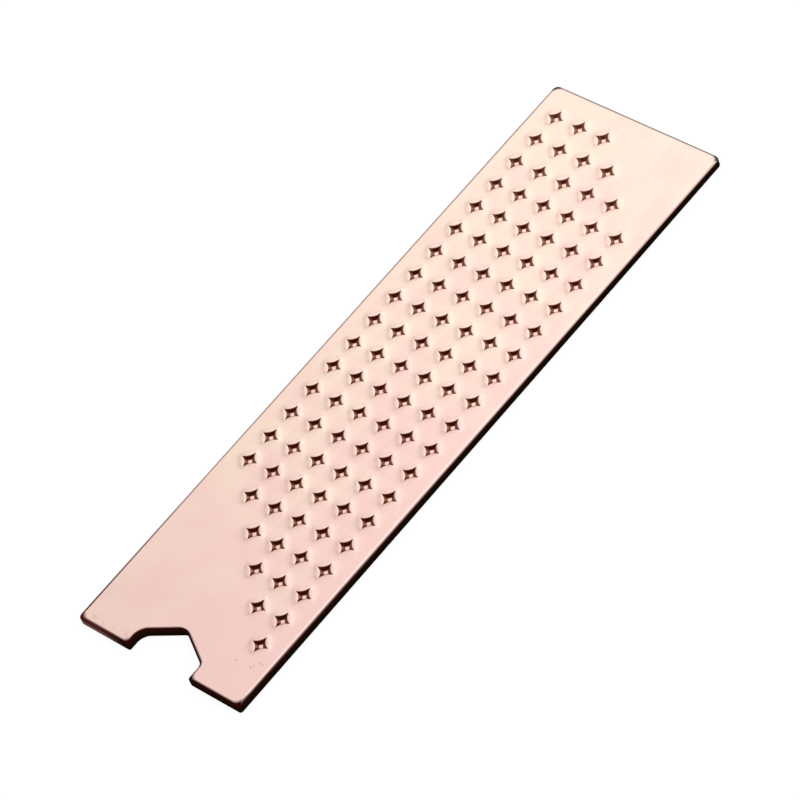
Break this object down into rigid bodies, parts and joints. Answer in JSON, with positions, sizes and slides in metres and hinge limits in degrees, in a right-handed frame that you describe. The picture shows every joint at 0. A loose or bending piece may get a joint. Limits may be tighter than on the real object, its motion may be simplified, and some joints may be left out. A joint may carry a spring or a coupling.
{
  "type": "ssd heat sink",
  "caption": "Flat stamped copper heat sink plate for a plug-in solid-state drive, with a field of small star-shaped pits and a half-hexagon screw notch at one end.",
  "frame": {"origin": "centre of the plate's outline, on its underside", "axes": "+X along the length, away from the notched end; +Y across the width; +Z out of the starred upper face"},
  "size_m": [0.07, 0.02, 0.001],
  "materials": {
    "copper": "bare rolled copper, satin bright, with dark sheared edges"
  },
  "bodies": {
    "root": {"heat_spreader_plate": "copper"}
  },
  "joints": []
}
